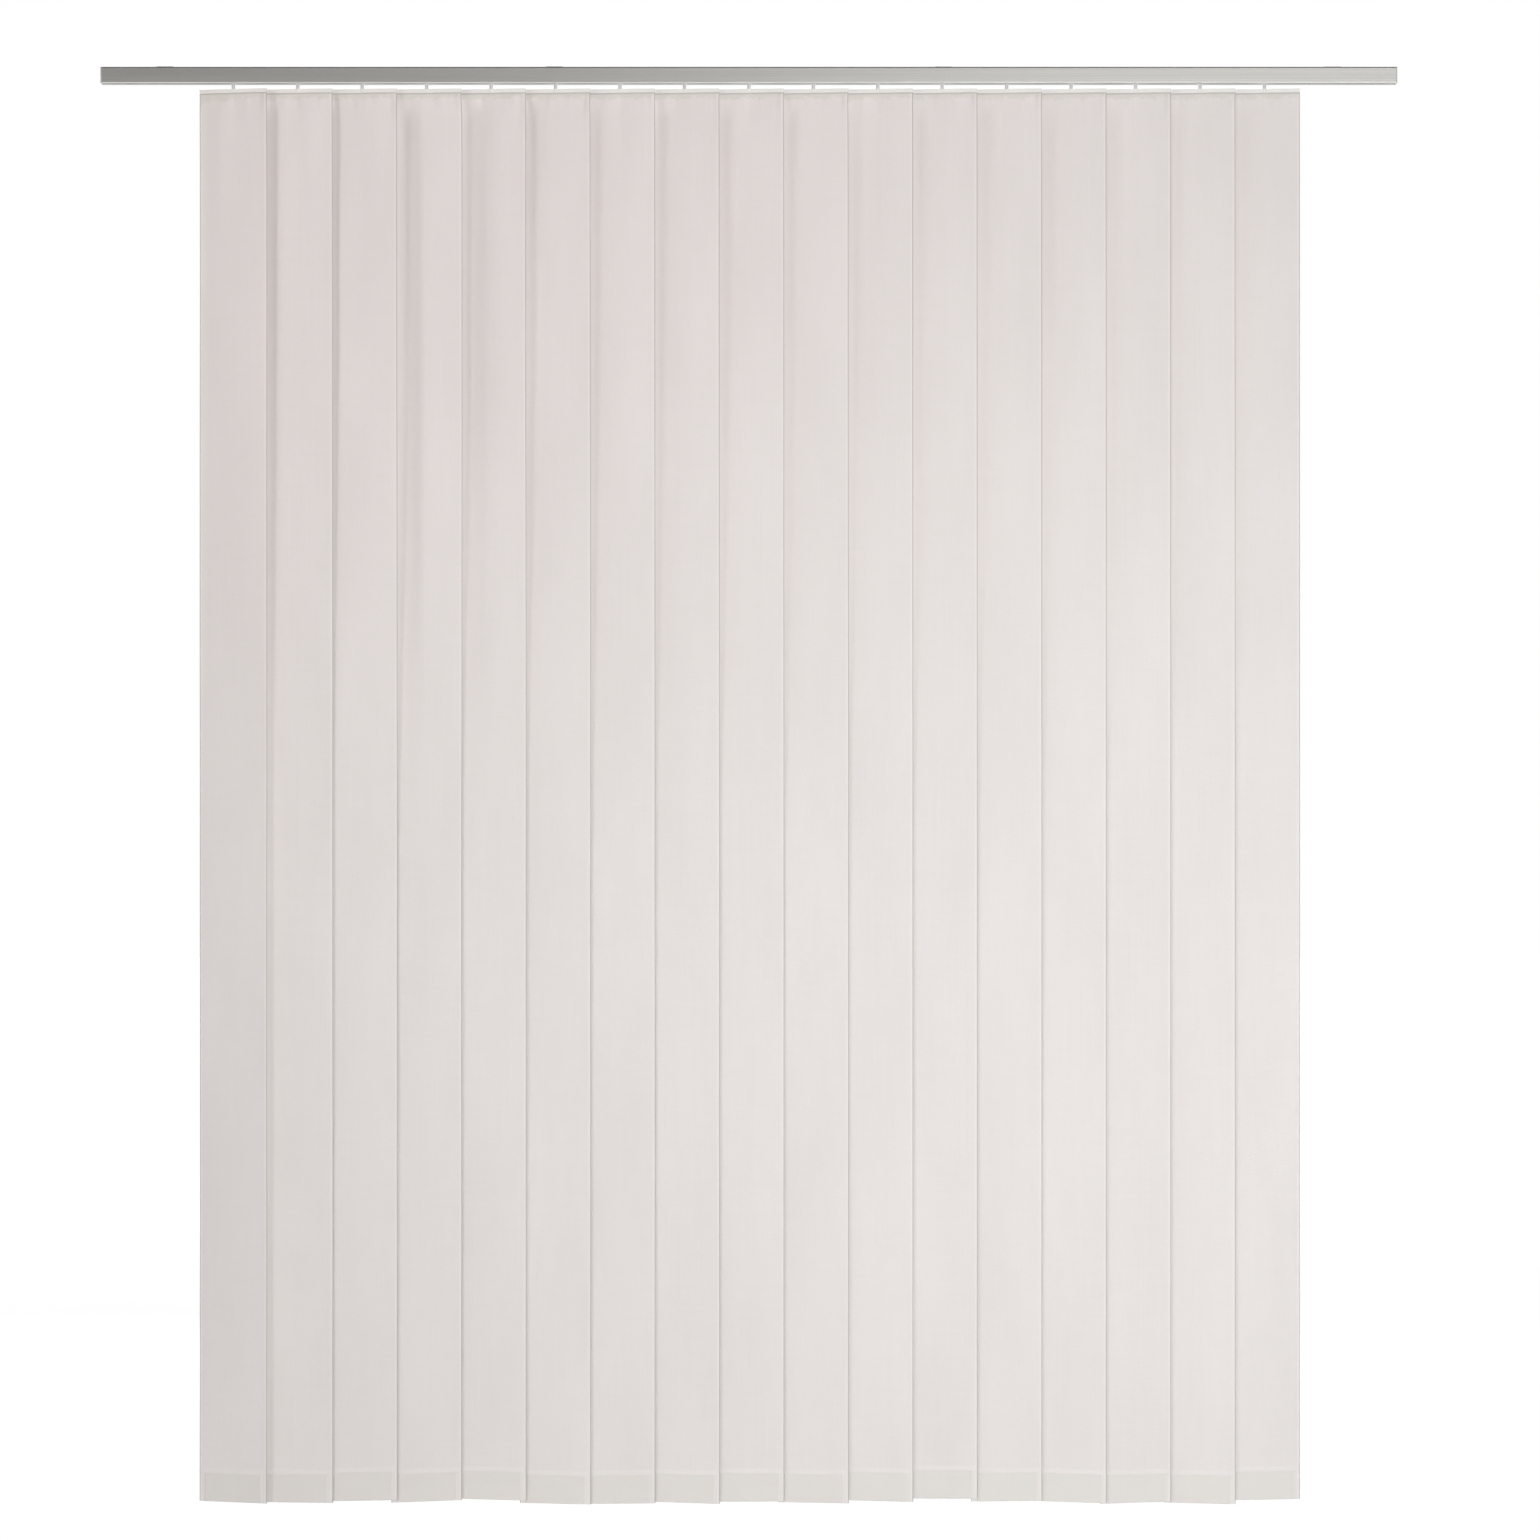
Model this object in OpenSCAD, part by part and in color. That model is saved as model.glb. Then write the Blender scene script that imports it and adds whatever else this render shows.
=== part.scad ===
// Vertical blind: fabric vanes that hang from carriers in a ceiling rail, turn, and slide to one side.
// Millimetres. X runs along the rail, -Y is the room side, Z is up, and Z = 0 is the ceiling.

/* [Vanes] */
// Number of vanes
vane_count = 17; // [4:1:17]
// Width of a vane
vane_width = 127; // [89:1:140]
// Distance from one vane's pivot to the next
vane_pitch = 116; // [90:1:130]
// Fabric that shows, from the hanger strip down to the hem's fold
vane_drop = 2535; // [600:1:3000]
// Thickness of the fabric
fabric_thickness = 0.6; // [0.4:0.05:0.8]
// Turn of the vanes at rest, counted from flat closed
rest_tilt = 8; // [7:0.5:12]
// Turn of the first vane at rest
first_tilt = 13; // [8:0.5:14]
// How far the other vanes differ in turn
tilt_spread = 0.6; // [0:0.1:1]

/* [Hem and weight] */
// Height of the doubled hem
hem_height = 60; // [50:1:80]
// Welded band above the pocket
seam_band = 8; // [4:1:12]
// Welded border on each side of the pocket
hem_side = 9; // [5:1:15]
// Run of the slope from the border to the pocket's flat
pocket_ramp = 2.5; // [1:0.5:5]
// Thickness of the weight plate
weight_thickness = 1.4; // [1:0.1:2]
// Corner cut of the weight plate
weight_corner = 5; // [1:1:10]

/* [Hangers] */
// Gap from the rail down to the hanger strip
hang_gap = 9.5; // [4:0.5:12]
// Height of the hanger strip
strip_height = 6.5; // [6.5:0.5:10]
// Thickness of the hanger strip
strip_thickness = 2.2; // [1.8:0.1:2.6]
// Bevel along the strip's top edges
strip_bevel = 0.55; // [0.3:0.05:0.8]
// How far the fabric goes up into the strip
fabric_bite = 3; // [2:0.25:3.25]
// Diameter of the turning stem
stem_d = 6; // [5:0.25:7]
// Diameter of the stem's head inside the carrier
head_d = 8.4; // [7.8:0.1:9]
// Height of the stem's head
head_height = 5.9; // [4:0.1:7]
// Diameter of the cross pin that carries the strip
pin_d = 2; // [1.5:0.1:2.2]
// How far the stem's prongs reach down past the cross pin
prong_tip = 1.8; // [1:0.1:2.5]
// Bevel round the tips of the prongs
prong_bevel = 0.75; // [0.4:0.05:1]

/* [Rail] */
// Rail beyond the outermost vane at each end
rail_overhang = 171.5; // [150:0.5:300]
// Height of the rail
rail_height = 28.5; // [24:0.5:40]
// Depth of the rail, from front to back
rail_depth = 38; // [36:0.5:50]
// Wall of the rail
rail_wall = 1.3; // [1:0.1:1.8]
// Thickness of the two bottom lips
lip_thickness = 1.5; // [1:0.1:2]
// Width of the slot between the lips
slot_width = 12; // [11:0.5:14]
// Height and width of the rib along each lip's edge
track_rib = 1.2; // [0.8:0.1:1.5]
// Bevel along the rail's top edges, inside and outside
rail_bevel = 2; // [1:0.1:2.2]
// Radius of the rail's bottom edges
rail_corner = 1; // [0.5:0.1:1.4]
// Width of the mouth of the clip channel
clip_mouth = 14; // [12:0.5:15]
// Undercut of the clip channel behind each lip
clip_undercut = 3.5; // [2:0.25:4]
// Depth of the clip channel under its lips
clip_channel = 3; // [2:0.25:4]
// Number of fine grooves on the front and on the back
groove_count = 3; // [0:1:4]
// Width of a groove
groove_width = 1; // [0.5:0.1:1.5]
// Depth of a groove
groove_depth = 0.4; // [0.2:0.1:0.6]
// From the rail's top edge to its first groove, and from its bottom edge to the last
groove_margin = 4; // [3:0.5:6]

/* [Carriers] */
// Length of a carrier with its bumpers
carrier_length = 36; // [34:0.5:42]
// Thickness of a bumper
bumper = 1; // [0.5:0.25:2]
// Width and height of a bumper's face
bumper_face = 8; // [4:0.5:10]
// Corner cut of the carrier's body
carrier_corner = 4; // [2:0.5:6]
// Diameter of a wheel
wheel_d = 9; // [8:0.25:10]
// Width of a wheel
wheel_width = 2.8; // [2:0.1:3.2]
// Bevel on each side of a wheel's tread, and depth of its hub
wheel_bevel = 0.56; // [0.3:0.02:0.8]
// Distance between the front and rear axles
wheel_base = 20; // [16:0.5:22]
// Diameter of a stub axle
axle_d = 3.6; // [2:0.2:5]
// Room between the rail's slot and the boss that reaches through it
boss_gap = 1.2; // [0.5:0.1:1.5]
// How far the boss stands out under the rail
boss_drop = 1.2; // [0.5:0.1:2]
// Floor under the stem's head
head_floor = 3.2; // [2:0.2:4]
// Wall between the stem's head and the tilt rod
gear_wall = 1.5; // [1:0.1:2]

/* [Tilt rod] */
// Diameter over the rod's three lobes
rod_d = 6; // [5:0.25:6.5]
// Diameter in the valleys between the lobes
rod_valley_d = 3.8; // [3:0.1:4.4]
// Angle from a lobe's middle to the edge of its crest
lobe_crest = 14; // [8:1:20]
// Angle from a lobe's middle to its foot in the valley
lobe_foot = 50; // [40:1:55]
// Diameter of the round journals
journal_d = 5; // [4:0.1:5.4]

/* [Spacer links] */
// Width of a link
link_width = 5; // [4:0.25:5.5]
// Thickness of a link
link_thickness = 0.8; // [0.5:0.1:1]
// Width of a link's slot
link_slot = 2; // [1.6:0.1:2.4]
// Width of the ribs between the lanes that the links run in
lane_rib = 1; // [0.6:0.1:1.2]
// Diameter of the pegs
peg_d = 1.5; // [1:0.1:1.5]
// Distance of the pegs from the carrier's ends
peg_inset = 5; // [4:0.25:7]

/* [Ceiling clips] */
// Number of clips
clip_count = 4; // [2:1:6]
// Distance of the outer clips from the rail's ends
clip_inset = 113; // [60:1:200]
// Length of a clip along the rail
clip_length = 30; // [20:1:50]
// Width of a clip's plate
clip_width = 24; // [20:1:30]
// Thickness of a clip's plate
clip_plate = 1.5; // [1:0.1:2.5]
// Diameter of the screw hole
screw_d = 4.5; // [3.5:0.1:5]
// Diameter of the countersink
countersink_d = 9; // [7:0.5:10]

/* [End caps] */
// Thickness of the end plate
cap_plate = 2; // [1.5:0.1:3]
// Depth of the plug inside the rail
cap_plug = 14; // [8:0.5:20]
// Wall of the plug and thickness of its ribs
cap_wall = 1.6; // [1.2:0.1:2]
// Length of the rod's bearing
bearing_length = 12; // [8:0.5:14]

/* [Clearances] */
// Radial room in a bearing
running_gap = 0.05; // [0.02:0.01:0.1]
// Radial room of the rod inside the carriers
rod_gap = 0.1; // [0.05:0.05:0.2]
// Room between pieces that slide past each other
slide_gap = 0.25; // [0.15:0.05:0.4]
// Room between pieces that are pushed together
seat_gap = 0.1; // [0.05:0.05:0.2]

/* [Hidden] */
function two_digits(k) = k < 10 ? str("0", k) : str(k);
$fn = 48;
sides = [-1, 1];
through = 1; // how far a cutting shape runs past the face that it opens
lanes = 3; // rows of spacer links side by side, so that stacked links pass each other
corner_steps = 4; // facets in a quarter turn of the rail's bottom edges
tilt_scatter = 137; // step in degrees that leaves no pattern in the vanes' turns

// Along the rail
vanes_span = (vane_count - 1) * vane_pitch;
rail_length = vanes_span + vane_width + 2 * rail_overhang;
clip_step = (rail_length - 2 * clip_inset) / (clip_count - 1);
function vane_x(k) = (k - 1) * vane_pitch - vanes_span / 2;
function vane_tilt(k) = k == 1 ? first_tilt : rest_tilt + tilt_spread * cos(tilt_scatter * k);
function clip_x(i) = i * clip_step - (rail_length / 2 - clip_inset);

// Heights in the rail, from the ceiling down
rail_top = -clip_plate;
rail_bottom = rail_top - rail_height;
channel_top = rail_top - rail_wall;
channel_floor = channel_top - clip_channel;
web_bottom = channel_floor - rail_wall;
track_z = rail_bottom + lip_thickness;
inner_half = rail_depth / 2 - rail_wall;
channel_half = clip_mouth / 2 + clip_undercut;
groove_step = (rail_height - 2 * groove_margin) / max(groove_count - 1, 1);

// Carriers
boss_d = slot_width - 2 * boss_gap;
head_room = head_d / 2 + 2 * seat_gap;
rod_offset = head_room + gear_wall + rod_d / 2 + rod_gap;
peg_offset = carrier_length / 2 - bumper - peg_inset;
peg_height = slide_gap + link_thickness + 2 * seat_gap;
body_top = web_bottom - peg_height - 2 * slide_gap;
body_bottom = track_z + track_rib + 2 * slide_gap;
body_half = rod_offset + rod_d / 2 + rod_gap + rail_wall;
wheel_z = track_z + slide_gap + wheel_d / 2;
wheel_outer = inner_half - 2 * slide_gap;
boss_bottom = rail_bottom - boss_drop;
head_seat = body_bottom + head_floor;
rod_z = (body_top + body_bottom) / 2;
rod_end = rail_length / 2 - 2 * slide_gap;
bearing_inside = rail_length / 2 - bearing_length;
lane_pitch = link_width + lane_rib + 2 * slide_gap;
stacked_pitch = carrier_length + 2 * slide_gap; // carriers that stand closed up
link_reach = vane_pitch - 2 * peg_offset; // peg to peg with the carriers spread
link_travel = vane_pitch - stacked_pitch;
function lane_y(k) = (k % lanes - (lanes - 1) / 2) * lane_pitch;

// Hangers and vanes
strip_top = rail_bottom - hang_gap;
strip_bottom = strip_top - strip_height;
fabric_top = strip_bottom + fabric_bite;
fabric_groove_top = fabric_top + seat_gap;
pin_z = (strip_top + fabric_groove_top) / 2;
prong_bottom = pin_z - pin_d / 2 - prong_tip;
fabric_bottom = strip_bottom - vane_drop;
pocket_half = fabric_thickness + weight_thickness / 2 + seat_gap;
pocket_width = vane_width - 2 * hem_side;
pocket_height = hem_height - seam_band;
weight_length = pocket_width - 2 * (pocket_ramp + seat_gap);
weight_height = pocket_height - 2 * (pocket_ramp + seat_gap);

// Runs a section that is drawn in Y and Z along X, equally to both sides.
module along_rail(length) {
    rotate([90, 0, 90])
        linear_extrude(length, center = true)
            children();
}

// A rectangle in Y and Z that reaches equally far to the front and to the back.
module band(half, low, high) {
    translate([-half, low])
        square([2 * half, high - low]);
}

// A band with its two upper corners cut off.
module bevelled_band(half, low, high) {
    polygon([
        [-half, low], [half, low], [half, high - rail_bevel], [half - rail_bevel, high],
        [rail_bevel - half, high], [-half, high - rail_bevel]
    ]);
}

function arc(x, y, r, from) =
    [for (i = [0:corner_steps]) let (a = from + 90 * i / corner_steps) [x + r * cos(a), y + r * sin(a)]];

// The rail's plain outline, bevelled above and rounded below.
module rail_outline() {
    half = rail_depth / 2;
    y = half - rail_corner;
    low = rail_bottom + rail_corner;
    polygon(concat(
        [[half, rail_top - rail_bevel], [half - rail_bevel, rail_top]],
        [[rail_bevel - half, rail_top], [-half, rail_top - rail_bevel]],
        arc(-y, low, rail_corner, 180),
        arc(y, low, rail_corner, 270)
    ));
}

// Extruded section: clip channel on top, closed sides with fine grooves, two lips with ribs below.
module rail_section() {
    difference() {
        rail_outline();
        difference() {
            bevelled_band(inner_half, track_z, channel_top);
            band(channel_half + rail_wall, web_bottom, rail_top);
            for (side = sides)
                translate([side > 0 ? slot_width / 2 : -slot_width / 2 - track_rib, rail_bottom])
                    square([track_rib, lip_thickness + track_rib]);
        }
        band(clip_mouth / 2, channel_floor, rail_top + through);
        band(channel_half, channel_floor, channel_top);
        band(slot_width / 2, rail_bottom - through, track_z + through);
        if (groove_count > 0)
            for (side = sides, i = [0:groove_count - 1])
                translate([side * rail_depth / 2, rail_top - groove_margin - i * groove_step])
                    square([2 * groove_depth, groove_width], center = true);
    }
}

module rail() {
    color("#B9B8B0")
        along_rail(rail_length)
            rail_section();
}

// A bar across the end cap's plug, through the rod's bearing.
module plug_ribs(low, high) {
    translate([rod_offset - cap_wall / 2, low])
        square([cap_wall, high - low]);
    translate([-inner_half + cap_wall, rod_z - cap_wall / 2])
        square([2 * (inner_half - cap_wall), cap_wall]);
}

// End cap of the rail's right end: an end plate, and a ribbed plug that holds the rod's bearing.
module end_cap() {
    low = track_z + track_rib + seat_gap;
    high = web_bottom - seat_gap;
    half = inner_half - seat_gap;
    difference() {
        union() {
            translate([cap_plate / 2, 0, 0])
                along_rail(cap_plate)
                    rail_outline();
            translate([-cap_plug / 2, 0, 0])
                along_rail(cap_plug)
                    difference() {
                        band(half, low, high);
                        band(half - cap_wall, low + cap_wall, high - cap_wall);
                    }
            translate([-bearing_length / 2, 0, 0])
                along_rail(bearing_length) {
                    plug_ribs(low + cap_wall / 2, high - cap_wall / 2);
                    translate([rod_offset, rod_z])
                        circle(d = journal_d + 2 * cap_wall);
                }
        }
        translate([-bearing_length - through, rod_offset, rod_z])
            rotate([0, 90, 0])
                cylinder(d = journal_d + 2 * running_gap, h = bearing_length + through);
    }
}

module end_cap_right() {
    color("#A9A8A1")
        translate([rail_length / 2, 0, 0])
            end_cap();
}

module end_cap_left() {
    color("#A9A8A1")
        mirror([1, 0, 0])
            translate([rail_length / 2, 0, 0])
                end_cap();
}

// Clip that is screwed to the ceiling: its foot hooks under the lips of the rail's top channel.
module ceiling_clip() {
    foot_top = channel_top - seat_gap;
    foot_bottom = foot_top - clip_plate;
    difference() {
        along_rail(clip_length) {
            band(clip_width / 2, rail_top, 0);
            band(clip_mouth / 2 - seat_gap, foot_bottom, rail_top);
            band(channel_half - slide_gap, foot_bottom, foot_top);
        }
        translate([0, 0, foot_bottom - through])
            cylinder(d = screw_d, h = through - foot_bottom + through);
        translate([0, 0, foot_bottom])
            cylinder(d1 = countersink_d, d2 = screw_d, h = (countersink_d - screw_d) / 2);
    }
}

module ceiling_clips() {
    color("#C9CACB")
        for (i = [0:clip_count - 1])
            translate([clip_x(i), 0, 0])
                ceiling_clip();
}

// Three lobes that turn the gears in the carriers, and let the carriers slide along.
module rod_section() {
    lobe = [[-lobe_foot, rod_valley_d], [-lobe_crest, rod_d], [lobe_crest, rod_d], [lobe_foot, rod_valley_d]];
    polygon([for (turn = [0:120:240], point = lobe)
        point[1] / 2 * [cos(turn + point[0]), sin(turn + point[0])]]);
}

module tilt_rod() {
    lobes_end = bearing_inside - 2 * slide_gap;
    color("#C4C6C8")
        translate([0, rod_offset, rod_z]) {
            along_rail(2 * lobes_end)
                rod_section();
            for (side = sides)
                translate([side * lobes_end, 0, 0])
                    rotate([0, side * 90, 0])
                        cylinder(d = journal_d, h = rod_end - lobes_end);
        }
}

// A wheel with a crowned tread on its stub axle, standing out to +Y from the carrier's side.
module wheel_on_axle() {
    crown = wheel_bevel;
    hub = wheel_outer - wheel_width;
    rotate([-90, 0, 0]) {
        cylinder(d = axle_d, h = wheel_outer - crown);
        translate([0, 0, hub])
            rotate_extrude()
                polygon([
                    [0, 0], [wheel_d / 2 - crown, 0], [wheel_d / 2, crown],
                    [wheel_d / 2, wheel_width - crown], [wheel_d / 2 - crown, wheel_width],
                    [axle_d / 2 + crown, wheel_width], [axle_d / 2 + crown, wheel_width - crown],
                    [0, wheel_width - crown]
                ]);
    }
}

module carrier_plan() {
    x = carrier_length / 2 - bumper;
    cut = carrier_corner;
    polygon([
        [x, cut - body_half], [x, body_half - cut], [x - cut, body_half], [cut - x, body_half],
        [-x, body_half - cut], [-x, cut - body_half], [cut - x, -body_half], [x - cut, -body_half]
    ]);
}

// Ribs between the lanes, the peg that holds the carrier's own link and the peg that the next link runs on.
module carrier_top(k) {
    rib_half = carrier_length / 2 - carrier_corner - bumper;
    translate([0, 0, body_top]) {
        for (rib = [-lanes / 2:lanes / 2])
            translate([-rib_half, rib * lane_pitch - lane_rib / 2, 0])
                cube([2 * rib_half, lane_rib, slide_gap + link_thickness]);
        translate([-peg_offset, lane_y(k), 0]) {
            cylinder(d = peg_d, h = peg_height);
            cylinder(d = 2 * peg_d, h = slide_gap - running_gap);
        }
        translate([peg_offset, lane_y(k + 1), 0])
            cylinder(d = peg_d, h = peg_height);
    }
}

// Closed gear housing on four wheels, with the stem's bearing below and the rod's passage behind it.
module carrier_body(k) {
    difference() {
        union() {
            translate([0, 0, body_bottom])
                linear_extrude(body_top - body_bottom)
                    carrier_plan();
            for (end = sides)
                translate([end * (carrier_length / 2 - bumper), -bumper_face / 2, rod_z - bumper_face / 2])
                    translate([end < 0 ? -bumper : -carrier_corner, 0, 0])
                        cube([bumper + carrier_corner, bumper_face, bumper_face]);
            translate([0, 0, boss_bottom])
                cylinder(d = boss_d, h = head_seat - boss_bottom);
            for (front = [0, 180], end = sides)
                rotate([0, 0, front])
                    translate([end * wheel_base / 2, 0, wheel_z])
                        wheel_on_axle();
            carrier_top(k);
        }
        translate([0, 0, boss_bottom - through])
            cylinder(d = stem_d + 2 * running_gap, h = head_seat - boss_bottom + through + seat_gap);
        translate([0, 0, head_seat])
            cylinder(r = head_room, h = head_height + 4 * seat_gap);
        translate([-carrier_length, rod_offset, rod_z])
            rotate([0, 90, 0])
                cylinder(d = rod_d + 2 * rod_gap, h = 2 * carrier_length);
    }
}

// Slotted strip, fixed to its carrier, that draws the next carrier along at full spacing.
module spacer_link() {
    end_r = link_width / 2;
    linear_extrude(link_thickness)
        difference() {
            union() {
                translate([-link_reach, -end_r])
                    square([link_reach, link_width]);
                for (x = [0, -link_reach])
                    translate([x, 0])
                        circle(r = end_r);
            }
            circle(d = peg_d + 2 * running_gap);
            translate([-link_reach, -link_slot / 2])
                square([link_travel, link_slot]);
            for (x = [0, link_travel])
                translate([x - link_reach, 0])
                    circle(d = link_slot);
        }
}

module carrier(k) {
    translate([vane_x(k), 0, 0]) {
        color("#E6E4DF")
            carrier_body(k);
        if (k > 1)
            color("#C8CACC")
                translate([-peg_offset, lane_y(k), body_top + slide_gap])
                    spacer_link();
    }
}

// Puts a piece on the pivot of vane k, turned as that vane is.
module on_pivot(k) {
    translate([vane_x(k), 0, 0])
        rotate([0, 0, -vane_tilt(k)])
            children();
}

// Turning stem: a head that hangs in the carrier, and two prongs with a cross pin that straddle the strip.
module stem() {
    tip = prong_bevel;
    head_bottom = head_seat + seat_gap;
    difference() {
        union() {
            translate([0, 0, prong_bottom])
                cylinder(d1 = stem_d - 2 * tip, d2 = stem_d, h = tip);
            translate([0, 0, prong_bottom + tip])
                cylinder(d = stem_d, h = head_bottom - prong_bottom - tip);
            translate([0, 0, head_bottom])
                cylinder(d = head_d, h = head_height);
        }
        translate([-stem_d, -strip_thickness / 2 - seat_gap, prong_bottom - through])
            cube([
                2 * stem_d,
                strip_thickness + 2 * seat_gap,
                strip_top + seat_gap - prong_bottom + through
            ]);
    }
    translate([0, strip_thickness, pin_z])
        rotate([90, 0, 0])
            cylinder(d = pin_d, h = 2 * strip_thickness);
}

// Plastic strip that grips the top edge of the fabric, with a hole for the stem's cross pin.
module hanger_strip() {
    half = strip_thickness / 2;
    groove_half = fabric_thickness / 2 + seat_gap;
    cut = strip_bevel;
    difference() {
        along_rail(vane_width)
            polygon([
                [-half, strip_bottom], [-groove_half, strip_bottom], [-groove_half, fabric_groove_top],
                [groove_half, fabric_groove_top], [groove_half, strip_bottom], [half, strip_bottom],
                [half, strip_top - cut], [half - cut, strip_top], [cut - half, strip_top],
                [-half, strip_top - cut]
            ]);
        translate([0, strip_thickness, pin_z])
            rotate([90, 0, 0])
                cylinder(d = pin_d + 2 * seat_gap, h = 2 * strip_thickness);
    }
}

module hanger(k) {
    color("#F1F0EC")
        on_pivot(k) {
            stem();
            hanger_strip();
        }
}

// The pocket's outer form: a flat pad with sloped edges on all four sides.
module pocket_form() {
    z = fabric_bottom;
    edge = fabric_thickness;
    flat = pocket_half;
    x = pocket_width / 2;
    intersection() {
        along_rail(pocket_width)
            polygon([
                [edge, z], [flat, z + pocket_ramp], [flat, z + pocket_height - pocket_ramp],
                [edge, z + pocket_height], [-edge, z + pocket_height],
                [-flat, z + pocket_height - pocket_ramp], [-flat, z + pocket_ramp], [-edge, z]
            ]);
        translate([0, 0, z])
            linear_extrude(pocket_height)
                polygon([
                    [x, edge], [x - pocket_ramp, flat], [pocket_ramp - x, flat], [-x, edge],
                    [-x, -edge], [pocket_ramp - x, -flat], [x - pocket_ramp, -flat], [x, -edge]
                ]);
    }
}

// Flat plate with cut corners, lying in X and Z around the middle of the pocket.
module weight_plate(length, height, thickness) {
    x = length / 2;
    z = height / 2;
    cut = weight_corner;
    translate([0, thickness / 2, fabric_bottom + pocket_height / 2])
        rotate([90, 0, 0])
            linear_extrude(thickness)
                polygon([
                    [x, cut - z], [x, z - cut], [x - cut, z], [cut - x, z],
                    [-x, z - cut], [-x, cut - z], [cut - x, -z], [x - cut, -z]
                ]);
}

module vane_fabric() {
    half = vane_width / 2;
    difference() {
        union() {
            translate([-half, -fabric_thickness / 2, fabric_bottom])
                cube([vane_width, fabric_thickness, fabric_top - fabric_bottom]);
            translate([-half, -fabric_thickness, fabric_bottom])
                cube([vane_width, 2 * fabric_thickness, hem_height]);
            pocket_form();
        }
        weight_plate(
            weight_length + 2 * seat_gap,
            weight_height + 2 * seat_gap,
            weight_thickness + 2 * seat_gap
        );
    }
}

module vane(k) {
    on_pivot(k) {
        color("#E3DFDC")
            vane_fabric();
        color("#D8D6D2")
            weight_plate(weight_length, weight_height, weight_thickness);
    }
}

rail();
end_cap_left();
end_cap_right();
ceiling_clips();
tilt_rod();
for (k = [1:vane_count]) {
    carrier(k);
    hanger(k);
    vane(k);
}
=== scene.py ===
"""Vertical blind: cloth vanes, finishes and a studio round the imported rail, carriers and hangers."""

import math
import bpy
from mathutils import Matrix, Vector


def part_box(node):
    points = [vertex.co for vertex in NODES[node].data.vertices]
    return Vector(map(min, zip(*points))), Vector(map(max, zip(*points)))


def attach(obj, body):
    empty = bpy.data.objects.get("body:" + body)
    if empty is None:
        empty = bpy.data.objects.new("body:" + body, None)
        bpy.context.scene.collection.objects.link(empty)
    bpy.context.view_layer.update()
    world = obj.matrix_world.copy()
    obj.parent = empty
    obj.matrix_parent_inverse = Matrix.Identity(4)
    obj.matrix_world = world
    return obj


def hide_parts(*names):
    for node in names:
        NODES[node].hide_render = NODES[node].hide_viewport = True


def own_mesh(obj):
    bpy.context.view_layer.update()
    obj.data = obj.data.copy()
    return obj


bl_info = {
    "name": "Vertical blind",
    "version": (1, 0, 0),
    "blender": (4, 5, 0),
    "location": "View3D > Sidebar > Blind",
    "description": "Hangs the cloth vanes on the packed blind, finishes every piece and sets the studio",
    "category": "Object",
}

from typing import NamedTuple

import bpy
import numpy as np
from bpy.props import FloatProperty, FloatVectorProperty, PointerProperty
from bpy.types import Operator, Panel, PropertyGroup
from mathutils import Matrix, Vector

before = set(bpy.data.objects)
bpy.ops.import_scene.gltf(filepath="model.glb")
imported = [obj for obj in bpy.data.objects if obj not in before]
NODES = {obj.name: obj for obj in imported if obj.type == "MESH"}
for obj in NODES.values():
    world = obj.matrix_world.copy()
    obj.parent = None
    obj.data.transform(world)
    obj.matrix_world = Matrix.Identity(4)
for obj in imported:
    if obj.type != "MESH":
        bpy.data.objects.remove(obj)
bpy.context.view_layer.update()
VANES = sorted(name for name in NODES if name.startswith("vane_"))
FULL_TURN = 2 * math.pi
QUARTER_TURN = math.pi / 2
WHITE = (1, 1, 1)
# Noise seldom leaves the wide span. The narrow one turns it into clear patches.
WIDE = (0.3, 0.7)
NARROW = (0.35, 0.65)


def tint(name, description, colour):
    """A colour that a user may change."""
    return FloatVectorProperty(
        name=name, description=description, default=colour, subtype="COLOR", size=3, min=0, max=1
    )


def length(name, description, metres):
    """A length that a user may change."""
    return FloatProperty(
        name=name, description=description, default=metres, min=0, unit="LENGTH", precision=5
    )


def angle(name, description, degrees):
    """An angle that a user may change."""
    return FloatProperty(
        name=name, description=description, default=math.radians(degrees), min=0, unit="ROTATION"
    )


def share(name, description, value):
    """A part of one that a user may change."""
    return FloatProperty(
        name=name, description=description, default=value, min=0, max=1, subtype="FACTOR"
    )


def power(name, description, watts):
    """A lamp's power that a user may change."""
    return FloatProperty(name=name, description=description, default=watts, min=0, unit="POWER")


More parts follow.
